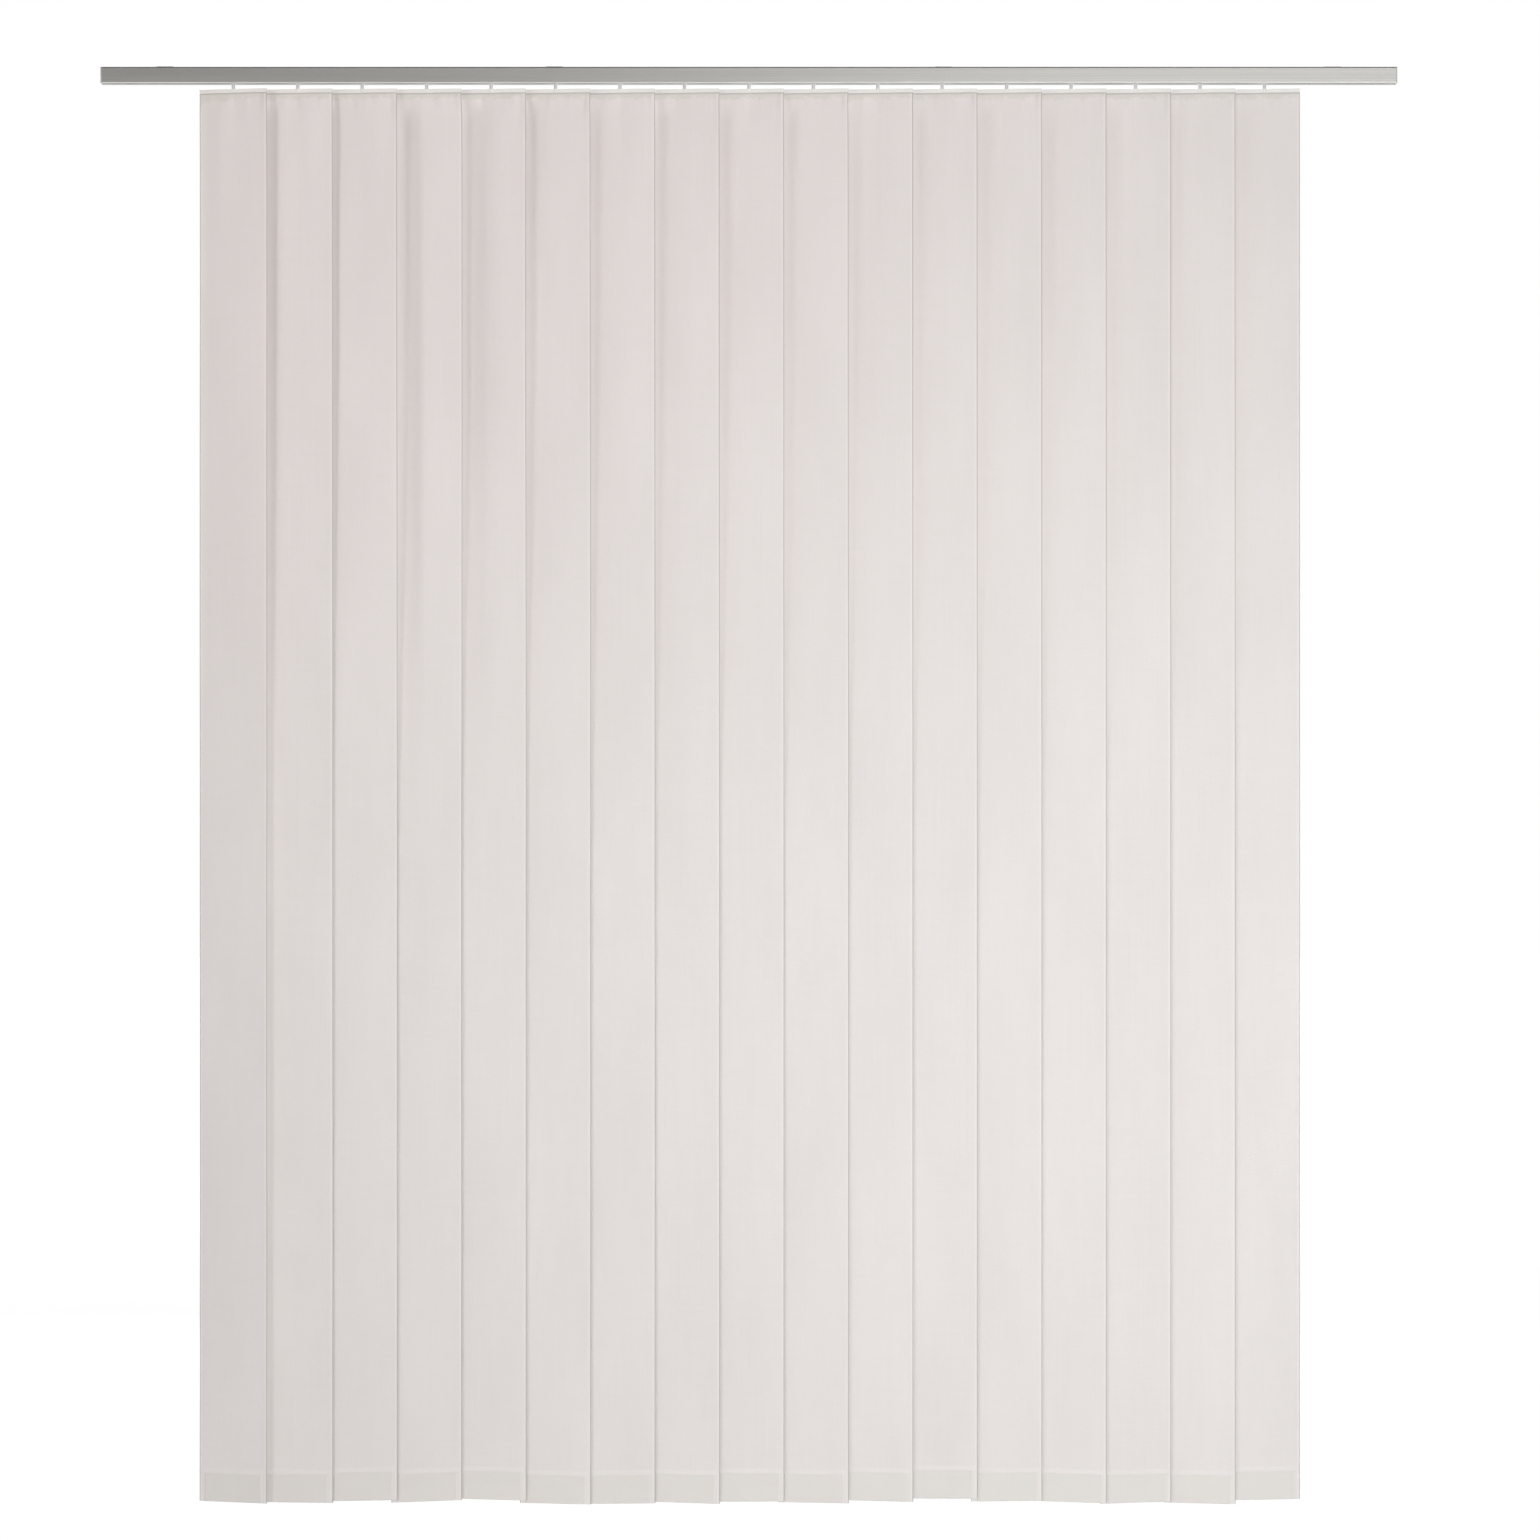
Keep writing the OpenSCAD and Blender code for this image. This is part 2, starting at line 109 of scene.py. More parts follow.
class VaneSettings(PropertyGroup):
    """Sizes and colours of the cloth vanes."""

    thickness: length("Cloth", "Thickness of one layer of cloth", 0.0006)
    grip: length("Grip", "How far the cloth goes up into the hanger strip", 0.003)
    top_fold: length("Top fold", "Depth of the turned-in cloth below the hanger strip", 0.013)
    hem: length("Hem", "Height of the doubled hem", 0.060)
    seam: length("Seam", "Welded band between the hem's edge and the pocket", 0.008)
    border: length("Border", "Welded border on each side of the pocket", 0.009)
    ramp: length("Pocket slope", "Run of the slope round the weight", 0.0025)
    pocket: length("Pocket", "Thickness of the pocket with its weight", 0.0028)
    camber: length("Camber", "How far the edges bend back from the middle", 0.0022)
    curl: length("Curl", "How far the left part of a vane bends back over half the vane's width", 0.028)
    lower_turn: angle("Lower turn", "What is left of the vanes' turn at their hems", 2.5)
    stacked: share("Stacked", "How much of its bends a vane keeps when the vanes are stacked", 0.3)
    sway: length("Sway", "How far the cloth wanders along its length", 0.0006)
    pleat: length("Pleats", "Depth of the soft pleats below the strip", 0.0016)
    pucker: length("Puckers", "Depth of the short puckers right below the strip", 0.0011)
    forward: length("First edge", "How far the first vane's left edge comes forward", 0.0016)
    uneven: length("Uneven hems", "How far the hems differ in height", 0.0034)
    cloth: tint("Cloth", "Colour of the cloth", (0.805, 0.775, 0.76))
    cloth_deep: tint("Cloth, deeper", "Colour in the deeper patches of the cloth", (0.765, 0.736, 0.72))
    # Painted shade: the pocket and the top fold are darkened toward this colour.
    painted_backed_shade: tint("Pocket", "Colour where the weight backs the cloth", (0.715, 0.70, 0.66))
    # Painted highlight: the side edges are lightened toward this colour; the weld takes it too.
    weld_and_highlight_tint: tint("Sealed edge", "Colour of the sealed edges and the weld", (0.84, 0.815, 0.795))
    # Painted shadow: the very side edges and the band right under the strip are darkened toward this
    # colour.
    painted_shadow_tint: tint("Cut edge", "Colour of the cut edges and the top crease", (0.46, 0.44, 0.42))
    thread: length("Thread", "Distance from one thread to the next", 0.0009)
    weld_rib: length("Weld rib", "Distance from one rib of the weld to the next", 0.003)


class HardwareSettings(PropertyGroup):
    """Colours of the rail and of everything that runs in it."""

    rail: tint("Rail", "Colour of the anodised rail", (0.68, 0.675, 0.645))
    rail_line: tint("Drawn lines", "Colour of the fine lines along the rail", (0.56, 0.555, 0.53))
    cap: tint("End cap", "Colour of the end caps", (0.46, 0.455, 0.43))
    clip: tint("Clip", "Colour of the zinc-plated clips", (0.68, 0.69, 0.70))
    rod: tint("Tilt rod", "Colour of the drawn rod", (0.72, 0.73, 0.74))
    carrier: tint("Carrier", "Colour of the carriers' plastic", (0.84, 0.83, 0.80))
    hanger: tint("Hanger", "Colour of the hangers' plastic", (0.86, 0.855, 0.835))
    stem: tint("Stem", "Colour of the stems, whose plastic is clearer", (0.64, 0.64, 0.625))
    hang_gap: length("Hang gap", "From the rail down to the hangers' strips", 0.0095)
    stem_edge: length("Stem edge", "Height over which a strip's white turns into the stem's grey", 0.0005)
    rail_roughness: share("Rail roughness", "How much the rail's satin finish blurs reflections", 0.36)


class StageSettings(PropertyGroup):
    """Camera, light and floor."""

    aim: FloatVectorProperty(
        name="Aim", description="Point that the camera looks at", default=(0.038, 0, -1.265),
        subtype="TRANSLATION", unit="LENGTH"
    )
    distance: length("Camera distance", "From the camera to the row of vanes", 10.0)
    frame_width: length("Frame width", "Width of the picture at the row of vanes", 2.772)
    floor_gap: length("Floor gap", "From the vanes' hems down to the floor", 0.035)
    fill: share("Fill", "Strength of the even light from all round", 0.365)
    right_lamp: power("Right lamp", "Power of the large lamp on the right", 65)
    upper_lamp: power("Upper lamp", "Power of the warm lamp above", 15.5)
    corner_lamp: power("Corner lamp", "Power of the small lamp at the upper left", 3.5)
    low_lamp: power("Low lamp", "Power of the narrow lamp at the lower left", 17)
    back_lamp: power("Back lamp", "Power of the lamp behind the vanes", 65)


class Tree:
    """A node tree, with short calls for the nodes that the finishes and the stage need."""

    def __init__(self, owner):
        owner.use_nodes = True
        self.tree = owner.node_tree
        self.tree.nodes.clear()

    def add(self, kind, **settings):
        node = self.tree.nodes.new(kind)
        for key, value in settings.items():
            setattr(node, key, value)
        return node

    def link(self, source, target):
        self.tree.links.new(source, target)

    def feed(self, socket, value):
        """Links an output to a socket, or sets the socket to a plain value."""
        if isinstance(value, bpy.types.NodeSocket):
            self.link(value, socket)
        elif hasattr(value, "__len__") and len(socket.default_value) == 4 and len(value) == 3:
            socket.default_value = (*value, 1)
        else:
            socket.default_value = value

    def simple(self, kind, **values):
        """A node with one output, and its sockets set or fed by name."""
        node = self.add(kind)
        for key, value in values.items():
            self.feed(node.inputs[key], value)
        return node.outputs[0]

    def math(self, operation, *values):
        node = self.add("ShaderNodeMath", operation=operation)
        for socket, value in zip(node.inputs, values):
            self.feed(socket, value)
        return node.outputs[0]

    def total(self, *parts):
        """The sum of outputs, each times its weight."""
        terms = [self.math("MULTIPLY", value, weight) for value, weight in parts]
        result = terms[0]
        for term in terms[1:]:
            result = self.math("ADD", result, term)
        return result

    def span(self, value, low, high, to_low=0.0, to_high=1.0):
        """Maps a value from one span to another, and keeps it inside."""
        node = self.add("ShaderNodeMapRange")
        for socket, number in zip(node.inputs, (value, low, high, to_low, to_high)):
            self.feed(socket, number)
        return node.outputs[0]

    def place(self):
        """Coordinates of the piece itself, in metres."""
        return self.add("ShaderNodeTexCoord").outputs["Object"]

    def choose(self, factor, first, second):
        """The first shader where the factor is 0, and the second where it is 1."""
        node = self.add("ShaderNodeMixShader")
        for socket, source in zip(node.inputs, (factor, first, second)):
            self.link(source, socket)
        return node.outputs[0]

    def shown(self):
        """1 for rays that show the background: from the camera, off a gloss or through something clear."""
        path = self.add("ShaderNodeLightPath")
        result = path.outputs["Is Camera Ray"]
        for name in ("Is Glossy Ray", "Is Transmission Ray"):
            result = self.math("MAXIMUM", result, path.outputs[name])
        return result

    def output(self, kind, surface):
        self.link(surface, self.add(kind).inputs["Surface"])


class Finish(Tree):
    """A material with one shader, and calls for the patterns that drive it."""

    def __init__(self, name):
        self.material = bpy.data.materials.new(name)
        super().__init__(self.material)
        self.shader = self.add("ShaderNodeBsdfPrincipled")
        self.output("ShaderNodeOutputMaterial", self.shader.outputs["BSDF"])

    def mix(self, factor, first, second):
        node = self.add("ShaderNodeMix", data_type="RGBA")
        inputs = [socket for socket in node.inputs if socket.type == "RGBA"]
        self.feed(node.inputs["Factor"], factor)
        self.feed(inputs[0], first)
        self.feed(inputs[1], second)
        return next(socket for socket in node.outputs if socket.type == "RGBA")

    def axes(self):
        """The piece's coordinates, one output for each axis."""
        node = self.add("ShaderNodeSeparateXYZ")
        self.link(self.place(), node.inputs[0])
        return node.outputs

    def noise(self, scale, detail=3.0, seed=None):
        """Noise in cells of one over the scale, which is given for each axis."""
        spread = self.add("ShaderNodeMapping", vector_type="POINT")
        self.link(self.place(), spread.inputs["Vector"])
        spread.inputs["Scale"].default_value = scale
        node = self.add("ShaderNodeTexNoise", noise_dimensions="3D" if seed is None else "4D")
        self.link(spread.outputs["Vector"], node.inputs["Vector"])
        node.inputs["Scale"].default_value = 1
        node.inputs["Detail"].default_value = detail
        if seed is not None:
            self.link(seed, node.inputs["W"])
        return node.outputs["Fac"]

    def wave(self, value, spacing):
        """A sine that repeats after the spacing."""
        return self.math("SINE", self.math("MULTIPLY", value, FULL_TURN / spacing))

    def mark(self, name):
        """A number that the mesh carries at each point."""
        return self.add("ShaderNodeAttribute", attribute_name=name).outputs["Fac"]

    def bump(self, height, depth, strength):
        node = self.add("ShaderNodeBump")
        self.feed(node.inputs["Height"], height)
        node.inputs["Distance"].default_value = depth
        node.inputs["Strength"].default_value = strength
        self.link(node.outputs["Normal"], self.shader.inputs["Normal"])

    def set(self, **values):
        """Sets or feeds the shader's sockets, named with underscores for spaces."""
        for key, value in values.items():
            self.feed(self.shader.inputs[key.replace("_", " ")], value)


def dress(material, *names):
    """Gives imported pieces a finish."""
    for name in names:
        slots = NODES[name].material_slots
        if not slots:
            raise RuntimeError(f"{name} has no material slot")
        for slot in slots:
            slot.link = "OBJECT"
            slot.material = material


def alike(kind):
    """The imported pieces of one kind."""
    return [name for name in NODES if name.startswith(kind + "_")]


class BLIND_OT_finish_rail(Operator):
    """Satin aluminium for the rail, grey plastic for its end caps and zinc for its clips"""

    bl_idname = "blind.finish_rail"
    bl_label = "Finish the rail"

    def execute(self, context):
        look = context.scene.blind_hardware
        satin = Finish("satin_rail")
        fine = satin.noise(scale=(0.7, 900, 900), detail=2)
        broad = satin.noise(scale=(1.5, 90, 90), detail=2)
        lines = satin.total((fine, 0.65), (broad, 0.35))
        smooth, rough = look.rail_roughness - 0.05, look.rail_roughness + 0.07
        satin.set(
            Base_Color=satin.mix(satin.span(lines, *NARROW), look.rail, look.rail_line),
            Metallic=0.85,
            Roughness=satin.span(lines, *WIDE, smooth, rough),
            Anisotropic=0.4,
        )
        satin.bump(fine, depth=0.00005, strength=0.35)
        dress(satin.material, "rail")

        cap = Finish("cap_plastic")
        grain = cap.noise(scale=(2600, 2600, 2600), detail=2)
        cloud = cap.noise(scale=(60, 60, 60))
        cap.set(
            Base_Color=cap.mix(cap.span(cloud, *WIDE, 0, 0.25), look.cap, look.rail),
            Roughness=cap.span(cloud, *WIDE, 0.42, 0.55),
        )
        cap.bump(grain, depth=0.00006, strength=0.5)
        dress(cap.material, "end_cap_left", "end_cap_right")

        zinc = Finish("zinc_plate")
        spangle = zinc.noise(scale=(240, 240, 240), detail=1)
        zinc.set(
            Base_Color=zinc.mix(zinc.span(spangle, *NARROW), look.clip, look.rail),
            Metallic=1.0,
            Roughness=zinc.span(spangle, *WIDE, 0.3, 0.46),
        )
        dress(zinc.material, "ceiling_clips")
        return {"FINISHED"}


class BLIND_OT_finish_carriers(Operator):
    """White plastic for the carriers and their spacer links, and drawn aluminium for the tilt rod"""

    bl_idname = "blind.finish_carriers"
    bl_label = "Finish the carriers"

    def execute(self, context):
        look = context.scene.blind_hardware
        plastic = Finish("carrier_plastic")
        flow = plastic.noise(scale=(90, 90, 90), detail=2)
        grain = plastic.noise(scale=(3000, 3000, 3000), detail=1)
        plastic.set(
            Base_Color=plastic.mix(plastic.span(flow, *WIDE, 0, 0.12), look.carrier, look.rail),
            Roughness=plastic.span(flow, *WIDE, 0.38, 0.5),
        )
        plastic.bump(grain, depth=0.00004, strength=0.4)
        dress(plastic.material, *alike("carrier"))

        drawn = Finish("drawn_rod")
        lines = drawn.noise(scale=(1.2, 1500, 1500), detail=2)
        drawn.set(
            Base_Color=drawn.mix(drawn.span(lines, *NARROW), look.rod, look.rail),
            Metallic=1.0,
            Roughness=drawn.span(lines, *WIDE, 0.3, 0.44),
        )
        dress(drawn.material, "tilt_rod")
        return {"FINISHED"}


class BLIND_OT_finish_hangers(Operator):
    """White, slightly clear plastic for the stems and for the strips that grip the vanes"""

    bl_idname = "blind.finish_hangers"
    bl_label = "Finish the hangers"

    def execute(self, context):
        look = context.scene.blind_hardware
        clear = Finish("hanger_plastic")
        flow = clear.noise(scale=(14, 160, 160), detail=2)
        ripple = clear.noise(scale=(40, 1800, 1800), detail=1)
        strip_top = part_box("rail")[0].z - look.hang_gap
        stem = clear.span(clear.axes()["Z"], strip_top, strip_top + look.stem_edge)
        strip = clear.mix(clear.span(flow, *WIDE, 0, 0.2), look.hanger, look.carrier)
        clear.set(
            Base_Color=clear.mix(stem, strip, look.stem),
            Roughness=clear.span(flow, *WIDE, 0.24, 0.36),
            IOR=1.47,
        )
        clear.bump(ripple, depth=0.00003, strength=0.4)
        dress(clear.material, *alike("hanger"))
        return {"FINISHED"}


def ease(low, high, x):
    """Goes smoothly from 0 at low to 1 at high."""
    t = np.clip((x - low) / (high - low), 0, 1)
    return t * t * (3 - 2 * t)


def waves(x, parts, phases):
    """The sum of sine waves, each with its length, height and phase."""
    return sum(high * np.sin(x * FULL_TURN / long + phase) for (long, high), phase in zip(parts, phases))


class Crease(NamedTuple):
    """How a vane's left part bends back near its top. Places go from -1 at its left edge to 1."""

    start: float
    end: float
    soft: float
    steep: float
    right_steep: float = 0


PAST_EDGE = -2
# By vane, counted from the left. The first vane has none.
CREASES = {
    2: Crease(start=-0.48, end=PAST_EDGE, soft=0.03, steep=1),
    3: Crease(start=-0.62, end=PAST_EDGE, soft=0.03, steep=1),
    4: Crease(start=-0.12, end=-0.6, soft=0.05, steep=1.3, right_steep=0.25),
    5: Crease(start=-0.08, end=-0.7, soft=0.12, steep=1),
}
LATER_CREASE = Crease(start=-0.35, end=PAST_EDGE, soft=0.2, steep=0.85)


class VaneCloth:
    """The cloth of one vane: how it bends, how thick it is, and its mesh. Lengths are in metres."""

    # Rows and columns of the mesh: shares of the pocket's slope and of the cloth's thickness, or distances
    SLOPE_STEPS = (-0.3, 0, 0.25, 0.5, 0.75, 1, 1.4)
    FOLD_STEPS = (0.5, 0.2, 0)
    TOP_ROWS = (0.0038, 0.005, 0.0065, 0.008, 0.0095, 0.011, 0.0125, 0.014, 0.0155, 0.0175, 0.02, 0.024,
                0.029, 0.036, 0.046, 0.06, 0.08, 0.105)
    HEM_ROWS = (-0.014, -0.006, -0.0012, -0.0004, 0.0003, 0.001, 0.004)
    EDGE_COLUMN = 0.0006
    MIDDLE_COLUMNS = 20
    MIDDLE_ROWS = 132
    POCKET_ROWS = 6
    # In from the side edges: where the painted shadow line at the very edge ends, and where the painted
    # highlight along the edge fades
    EDGE_SHADOW = (0.0011, 0.0016)
    LIT_RIM = (0.003, 0.006)
    # Down from the hem's upper edge: where the cloth doubles, and where the weld starts
    DOUBLES = (-0.0012, 0.001)
    WELD_STARTS = (-0.0004, 0.001)
    # Down from the seam's lower edge: where the weld ends
    WELD_ENDS = (-0.0005, 0.001)
    # Up from the hem's fold, in shares of the pocket's slope: where the weight ends
    POCKET_FOOT = (-0.3, 0.7)
    # Down from the top: where each bend has grown full
    CAMBER_FULL = 0.13
    CREASE_FULL = 0.05
    FORWARD_FULL = 0.03
    PLEAT_FULL = 0.03
    PUCKER_FULL = 0.009
    # Down from the top: from where to where a bend or a mark fades
    CAMBER_FADES = (0.3, 1.1)
    CREASE_FADES = (0.45, 1.45)
    FORWARD_FADES = (0.5, 1.4)
    TURN_FADES = (0.1, 1.3)
    # The painted shadow right under the hanger strip fades over this span.
    STRIP_SHADOW_FADES = (0.0045, 0.0065)
    # The depth over which the pleats die away, and the middle and depth of the band of puckers
    PLEAT_DEPTH = 0.16
    PUCKER_MIDDLE = 0.018
    PUCKER_DEPTH = 0.016
    # Up from the hem's fold: where camber and sway start to fade
    CALM = 0.5
    # What is left of the camber lower down, and how far from the middle the first vane's edge comes forward
    CAMBER_KEPT = 0.45
    FORWARD_FROM = 0.78
    # Waves along the vane and across it: the length and the height of each
    DRIFTS = ((0.93, 0.6), (0.41, 0.3))
    TWIST = ((1.3, 0.7),)
    PLEATS = ((0.085, 1), (0.047, 0.5))
    PUCKERS = ((0.036, 1), (0.017, 0.6))
    FOLD_WANDERS = ((0.051, 0.12), (0.023, 0.12), (0.012, 0.12))
    # The top fold: its extra depth and its slope across the vane, its edge's blur and how much it thickens
    FIRST_FOLD = (0.002, 0.006)
    LATER_FOLD = (0, 0.001)
    FOLD_BLUR = 0.0008
    FOLD_THICKENS = 0.7
    # Uneven hems: from where on they grow, the largest draw, and how much of it slopes the hem
    SINK_STARTS = 0.2
    SINK_LIMIT = 2
    SINK_SLOPES = 0.5
    # How blunt the hem's fold is, the angle that stays sharp, and how far apart the vanes' patterns are
    BLUNT = 0.08
    SHARP = math.radians(55)
    SEED_STEP = 3.7

    def __init__(self, order, width, drop, turn, look):
        self.first = order == 1
        self.crease = CREASES.get(order, LATER_CREASE)
        self.seed = self.SEED_STEP * order
        self.turn = turn
        self.width = width
        self.drop = drop
        self.look = look
        self.chance = np.random.default_rng(order)
        self.u, self.s = np.meshgrid(self.columns(), self.rows())
        self.across = self.u / (width / 2)
        self.in_hem = self.s - (drop - look.hem)

    def columns(self):
        """Places across the vane, closest together at its edges and at the pocket's sides."""
        look = self.look
        left = [0, self.EDGE_COLUMN, *self.EDGE_SHADOW, *self.LIT_RIM]
        left += [look.border + look.ramp * t for t in self.SLOPE_STEPS]
        middle = np.linspace(left[-1], self.width - left[-1], self.MIDDLE_COLUMNS)[1:-1]
        return np.concatenate([left, middle, [self.width - x for x in reversed(left)]]) - self.width / 2

    def rows(self):
        """Places down the vane from its top edge, closest together at the top and in the hem."""
        look, end = self.look, self.drop
        top = [0, look.grip, *self.TOP_ROWS]
        hem = [end - look.hem + d for d in self.HEM_ROWS]
        pocket = [end - look.hem + look.seam + look.ramp * t for t in self.SLOPE_STEPS]
        fold = [end - look.ramp * t for t in reversed(self.SLOPE_STEPS) if t > 0]
        fold += [end - look.thickness * t for t in self.FOLD_STEPS]
        body = np.linspace(pocket[-1], fold[0], self.POCKET_ROWS)[1:-1]
        middle = np.linspace(top[-1], hem[0], self.MIDDLE_ROWS)[1:-1]
        return np.concatenate([top, middle, hem, pocket, body, fold])

    def below_strip(self, full):
        """Grows from 0 at the strip's lower edge to 1."""
        return ease(self.look.grip, full, self.s)

    def fades(self, span):
        """Falls from 1 to 0 over a span down the vane."""
        return 1 - ease(*span, self.s)

    def bend(self):
        """How far the cloth stands back from the strip's plane at each point."""
        look, t = self.look, self.across
        calm = (self.drop - self.CALM, self.drop - look.hem)
        free = self.below_strip(self.CAMBER_FULL) * self.fades(calm)
        kept = self.CAMBER_KEPT + (1 - self.CAMBER_KEPT) * self.fades(self.CAMBER_FADES)
        away = look.camber * t * t * free * kept
        if self.first:
            away += self.forward_edge()
        else:
            away += self.creased() + self.turned_back()
        phase = self.chance.uniform(0, FULL_TURN, 4)
        drift, twist = waves(self.s, self.DRIFTS, phase), waves(self.s, self.TWIST, phase[2:])
        away += look.sway * free * (drift + t * twist)
        return away + self.gathers(phase[3])

    def creased(self):
        """The left part's bend, and the right part's where it has one."""
        t, crease = self.across, self.crease

        def past(distance):
            return np.logaddexp(0, distance / crease.soft) * crease.soft

        lean = crease.steep * (past(crease.start - t) - past(crease.end - t))
        lean += crease.right_steep * past(t - crease.start)
        return self.look.curl * lean * self.below_strip(self.CREASE_FULL) * self.fades(self.CREASE_FADES)

    def forward_edge(self):
        """The first vane's left edge comes forward near the top."""
        edge = ease(self.FORWARD_FROM, 1, -self.across) * self.below_strip(self.FORWARD_FULL)
        return -self.look.forward * edge * self.fades(self.FORWARD_FADES)

    def turned_back(self):
        """The turn that the strip gives a vane eases off toward the hem."""
        return self.u * math.tan(self.turn - self.look.lower_turn) * ease(*self.TURN_FADES, self.s)

    def gathers(self, phase):
        """Soft pleats that die away below the strip, and short puckers right under it."""
        phases = (phase + QUARTER_TURN, QUARTER_TURN)
        pleats = waves(self.u, self.PLEATS, phases) * np.exp(-self.s / self.PLEAT_DEPTH)
        near = np.exp(-((self.s - self.PUCKER_MIDDLE) / self.PUCKER_DEPTH) ** 2)
        puckers = waves(self.u, self.PUCKERS, phases) * near
        pleats = self.look.pleat * pleats * self.below_strip(self.PLEAT_FULL)
        return pleats + self.look.pucker * puckers * self.below_strip(self.PUCKER_FULL)

    def sink(self):
        """How far the cloth hangs below its even length, which grows toward the hem."""
        draws = np.clip(self.chance.normal(0, 1, 2), -self.SINK_LIMIT, self.SINK_LIMIT)
        lower, slope = draws * self.look.uneven
        full = ease(self.SINK_STARTS, self.drop - self.look.hem, self.s)
        return (lower + self.SINK_SLOPES * slope * self.across) * full

    def fold_edge(self):
        """Where the turned-in cloth under the strip ends, which wanders across the vane."""
        phase = self.chance.uniform(0, FULL_TURN, len(self.FOLD_WANDERS))
        deeper, slope = self.FIRST_FOLD if self.first else self.LATER_FOLD
        wander = waves(self.u, self.FOLD_WANDERS, phase)
        return self.look.top_fold * (1 + wander) + deeper - slope * self.across

    def marks(self):
        """Where the pocket, the weld and the top fold are, where the painted highlight along the side edges
        lies, and where the painted shadow lines at the very edges and right under the strip lie, each from
        0 to 1.
        """
        look, below = self.look, self.in_hem
        inside = self.width / 2 - np.abs(self.u)
        foot = [look.ramp * part for part in self.POCKET_FOOT]
        pocket = ease(0, look.ramp, inside - look.border) * ease(0, look.ramp, below - look.seam)
        pocket = pocket * ease(*foot, self.drop - self.s)
        weld = ease(*self.WELD_STARTS, below) * (1 - ease(*self.WELD_ENDS, below - look.seam))
        past_fold = ease(-self.FOLD_BLUR, self.FOLD_BLUR, self.s - self.fold_edge())
        fold = self.below_strip(look.grip + self.FOLD_BLUR) * (1 - past_fold)
        # Painted shadow line at the very side edges.
        cut = 1 - ease(*self.EDGE_SHADOW, inside)
        # Painted highlight along the side edges, just inside the painted shadow line.
        rim = (1 - cut) * (1 - ease(*self.LIT_RIM, inside))
        # Painted shadow right under the hanger strip.
        tuck = self.fades(self.STRIP_SHADOW_FADES)
        return {"pocket": pocket, "weld": weld, "fold": fold, "rim": rim, "cut": cut, "tuck": tuck}

    def half_thickness(self, marks):
        """Half the cloth's thickness: doubled in the hem, swollen round the weight, round at the fold."""
        look = self.look
        single = look.thickness / 2 * (1 + self.FOLD_THICKENS * marks["fold"])
        doubled = single + look.thickness / 2 * ease(*self.DOUBLES, self.in_hem)
        swell = (look.pocket / 2 - look.thickness) * marks["pocket"]
        rounded = np.sqrt(np.clip((self.drop - self.s) / look.thickness + self.BLUNT, 0, 1))
        return (doubled + swell) * rounded

    def mesh(self, name):
        """A closed shell: the front and the back of the cloth, joined round the edge."""
        marks = self.marks()
        away, down = self.bend(), self.s + self.sink()
        thick = self.half_thickness(marks)
        sides = [np.stack([self.u, away + side * thick, -down], axis=-1).reshape(-1, 3) for side in (-1, 1)]
        count = self.u.size
        index = np.arange(count).reshape(self.u.shape)
        a, b = index[:-1, :-1].ravel(), index[:-1, 1:].ravel()
        c, d = index[1:, 1:].ravel(), index[1:, :-1].ravel()
        ring = np.concatenate([index[0, :-1], index[:-1, -1], index[-1, :0:-1], index[:0:-1, 0]])
        after = np.roll(ring, -1)
        faces = np.concatenate([
            np.stack([a, d, c, b], axis=1),
            np.stack([a, b, c, d], axis=1) + count,
            np.stack([ring, after, after + count, ring + count], axis=1),
        ])
        made = bpy.data.meshes.new(name)
        made.from_pydata(np.concatenate(sides).tolist(), [], faces.tolist())
        marks["seed"] = np.full(self.u.shape, self.seed)
        for mark, values in marks.items():
            layer = made.attributes.new(mark, "FLOAT", "POINT")
            layer.data.foreach_set("value", np.tile(values.ravel(), 2).astype(np.float32))
        made.shade_smooth()
        made.set_sharp_from_angle(angle=self.SHARP)
        made.validate()
        return made


